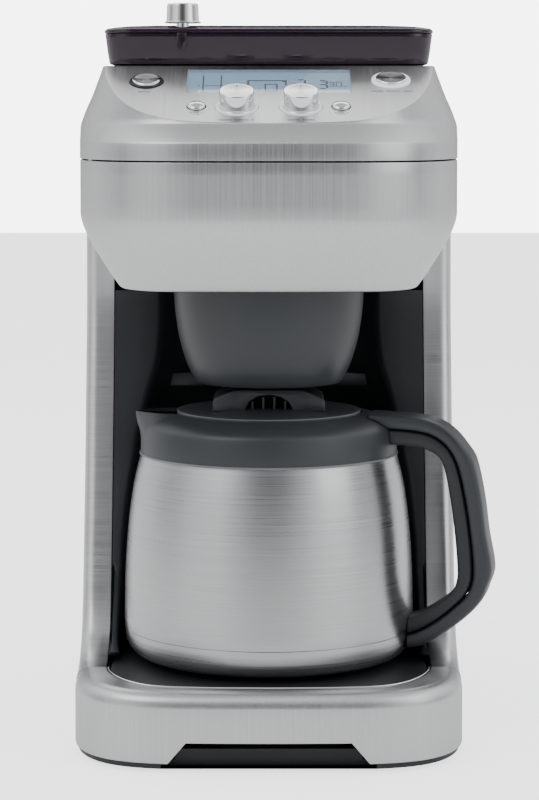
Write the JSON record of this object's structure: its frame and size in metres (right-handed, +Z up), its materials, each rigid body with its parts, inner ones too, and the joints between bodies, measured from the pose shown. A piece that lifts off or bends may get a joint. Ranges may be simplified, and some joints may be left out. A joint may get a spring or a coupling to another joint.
{
  "type": "drip coffee maker",
  "caption": "Bean-to-cup drip coffee maker: C-shaped steel housing, sloped control panel, smoky bean hopper, swing-out brew door and thermal jug.",
  "frame": {"origin": "on the floor, under the middle of the whole box", "axes": "+Z up, the control panel faces -Y, the jug handle is at +X"},
  "size_m": [0.2376, 0.318, 0.416],
  "materials": {
    "steel": "brushed",
    "jug_steel": "brushed, satin",
    "chrome": "polished",
    "dark_plastic": "fine satin grain",
    "black_plastic": "matte",
    "smoky_plastic": "clear, tinted",
    "clear_plastic": "clear",
    "white_plastic": "translucent white",
    "display_blue": "backlit",
    "board": "lacquered",
    "rubber": "matte",
    "silicone": "smooth",
    "aluminium": "cast",
    "zinc_steel": "zinc plated"
  },
  "bodies": {
    "housing": {"base_skirt": "steel", "side_panel_left": "steel", "side_panel_right": "steel", "head_top_cover": "steel", "tray_rim": "chrome", "niche_liner": "dark_plastic", "rear_cover": "dark_plastic", "head_frame": "dark_plastic", "spray_head": "dark_plastic", "gearbox": "dark_plastic", "burr_carrier": "dark_plastic", "base_plate": "black_plastic", "jug_tray": "black_plastic", "cord_gland": "black_plastic", "open_ring": "black_plastic", "grind_chute": "black_plastic", "lcd_window": "clear_plastic", "water_tank": "clear_plastic", "start_ring": "white_plastic", "dial_ring_left": "white_plastic", "dial_ring_right": "white_plastic", "lcd_panel": "display_blue", "control_board": "board", "power_board": "board", "foot_front_left": "rubber", "foot_rear_left": "rubber", "foot_front_right": "rubber", "foot_rear_right": "rubber", "inlet_hose": "silicone", "rise_hose": "silicone", "heater": "aluminium", "hinge_pin": "zinc_steel", "grinder_motor": "zinc_steel", "ring_burr": "zinc_steel"},
    "brew_door": {"door_shell": "steel", "filter_holder": "dark_plastic", "filter_basket": "dark_plastic", "mesh_filter": "aluminium", "basket_handle": "black_plastic", "drip_spring": "zinc_steel"},
    "drip_stop": {"drip_stop": "silicone"},
    "start_button": {"start_button": "chrome"},
    "open_button": {"open_button": "chrome"},
    "small_button_left": {"small_button_left": "chrome"},
    "small_button_right": {"small_button_right": "chrome"},
    "dial_knob_left": {"dial_knob_left": "chrome"},
    "dial_knob_right": {"dial_knob_right": "chrome"},
    "door_latch": {"door_latch": "zinc_steel"},
    "tank_lid": {"tank_lid": "dark_plastic"},
    "cone_burr": {"cone_burr": "zinc_steel"},
    "hopper": {"hopper_shell": "smoky_plastic"},
    "hopper_lid": {"hopper_lid": "smoky_plastic"},
    "hopper_knob": {"hopper_knob": "chrome"},
    "jug": {"jug_body": "jug_steel", "jug_base": "jug_steel", "jug_liner": "jug_steel", "jug_collar": "dark_plastic", "jug_handle": "dark_plastic", "handle_grip": "black_plastic"},
    "jug_lid": {"jug_lid": "dark_plastic"}
  },
  "joints": [
    {"name": "door_swing", "type": "hinge", "parent": "housing", "child": "brew_door", "pos_m": [0.09117, -0.047, 0.3], "axis": [0, 0, 1], "range_deg": [0, 60]},
    {"name": "drip_stop_lift", "type": "slide", "parent": "brew_door", "child": "drip_stop", "axis": [0, 0, 1], "range_m": [0, 0.003], "stiffness_N_per_m": 200, "springref_m": -0.001, "deforming": ["drip_spring"]},
    {"name": "start_press", "type": "slide", "parent": "housing", "child": "start_button", "axis": [0, 0.4158, -0.9095], "range_m": [0, 0.0015], "stiffness_N_per_m": 400, "springref_m": -0.0005},
    {"name": "open_press", "type": "slide", "parent": "housing", "child": "open_button", "axis": [0, 0.4158, -0.9095], "range_m": [0, 0.0015], "stiffness_N_per_m": 400, "springref_m": -0.0005},
    {"name": "small_press_left", "type": "slide", "parent": "housing", "child": "small_button_left", "axis": [0, 0.4158, -0.9095], "range_m": [0, 0.0015], "stiffness_N_per_m": 400, "springref_m": -0.0005},
    {"name": "small_press_right", "type": "slide", "parent": "housing", "child": "small_button_right", "axis": [0, 0.4158, -0.9095], "range_m": [0, 0.0015], "stiffness_N_per_m": 400, "springref_m": -0.0005},
    {"name": "latch_slide", "type": "slide", "parent": "housing", "child": "door_latch", "axis": [0, 0, 1], "range_m": [0, 0.0015]},
    {"name": "dial_turn_left", "type": "hinge", "parent": "housing", "child": "dial_knob_left", "pos_m": [-0.02823, -0.1209, 0.35693], "axis": [0, -0.4158, 0.9095], "continuous": true},
    {"name": "dial_turn_right", "type": "hinge", "parent": "housing", "child": "dial_knob_right", "pos_m": [0.00657, -0.1209, 0.35693], "axis": [0, -0.4158, 0.9095], "continuous": true},
    {"name": "tank_lid_swing", "type": "hinge", "parent": "housing", "child": "tank_lid", "pos_m": [-0.01083, 0.144, 0.3834], "axis": [-1, 0, 0], "range_deg": [0, 85]},
    {"name": "burr_spin", "type": "hinge", "parent": "housing", "child": "cone_burr", "pos_m": [-0.01083, 0.03, 0.34], "axis": [0, 0, 1], "continuous": true},
    {"name": "hopper_lift", "type": "slide", "parent": "housing", "child": "hopper", "axis": [0, 0, 1], "range_m": [0, 0.06]},
    {"name": "hopper_lid_lift", "type": "slide", "parent": "hopper", "child": "hopper_lid", "axis": [0, 0, 1], "range_m": [0, 0.04]},
    {"name": "hopper_knob_turn", "type": "hinge", "parent": "hopper_lid", "child": "hopper_knob", "pos_m": [-0.05983, -0.055, 0.41], "axis": [0, 0, 1], "range_deg": [0, 90]},
    {"name": "jug_slide", "type": "slide", "parent": "housing", "child": "jug", "axis": [0, -1, 0], "range_m": [0, 0.2]},
    {"name": "jug_lid_turn", "type": "hinge", "parent": "jug", "child": "jug_lid", "pos_m": [-0.01083, -0.055, 0.183], "axis": [0, 0, 1], "range_deg": [0, 50]}
  ],
  "couplings": [
    {"joint": "latch_slide", "follows": "open_press", "ratio": 1}
  ]
}
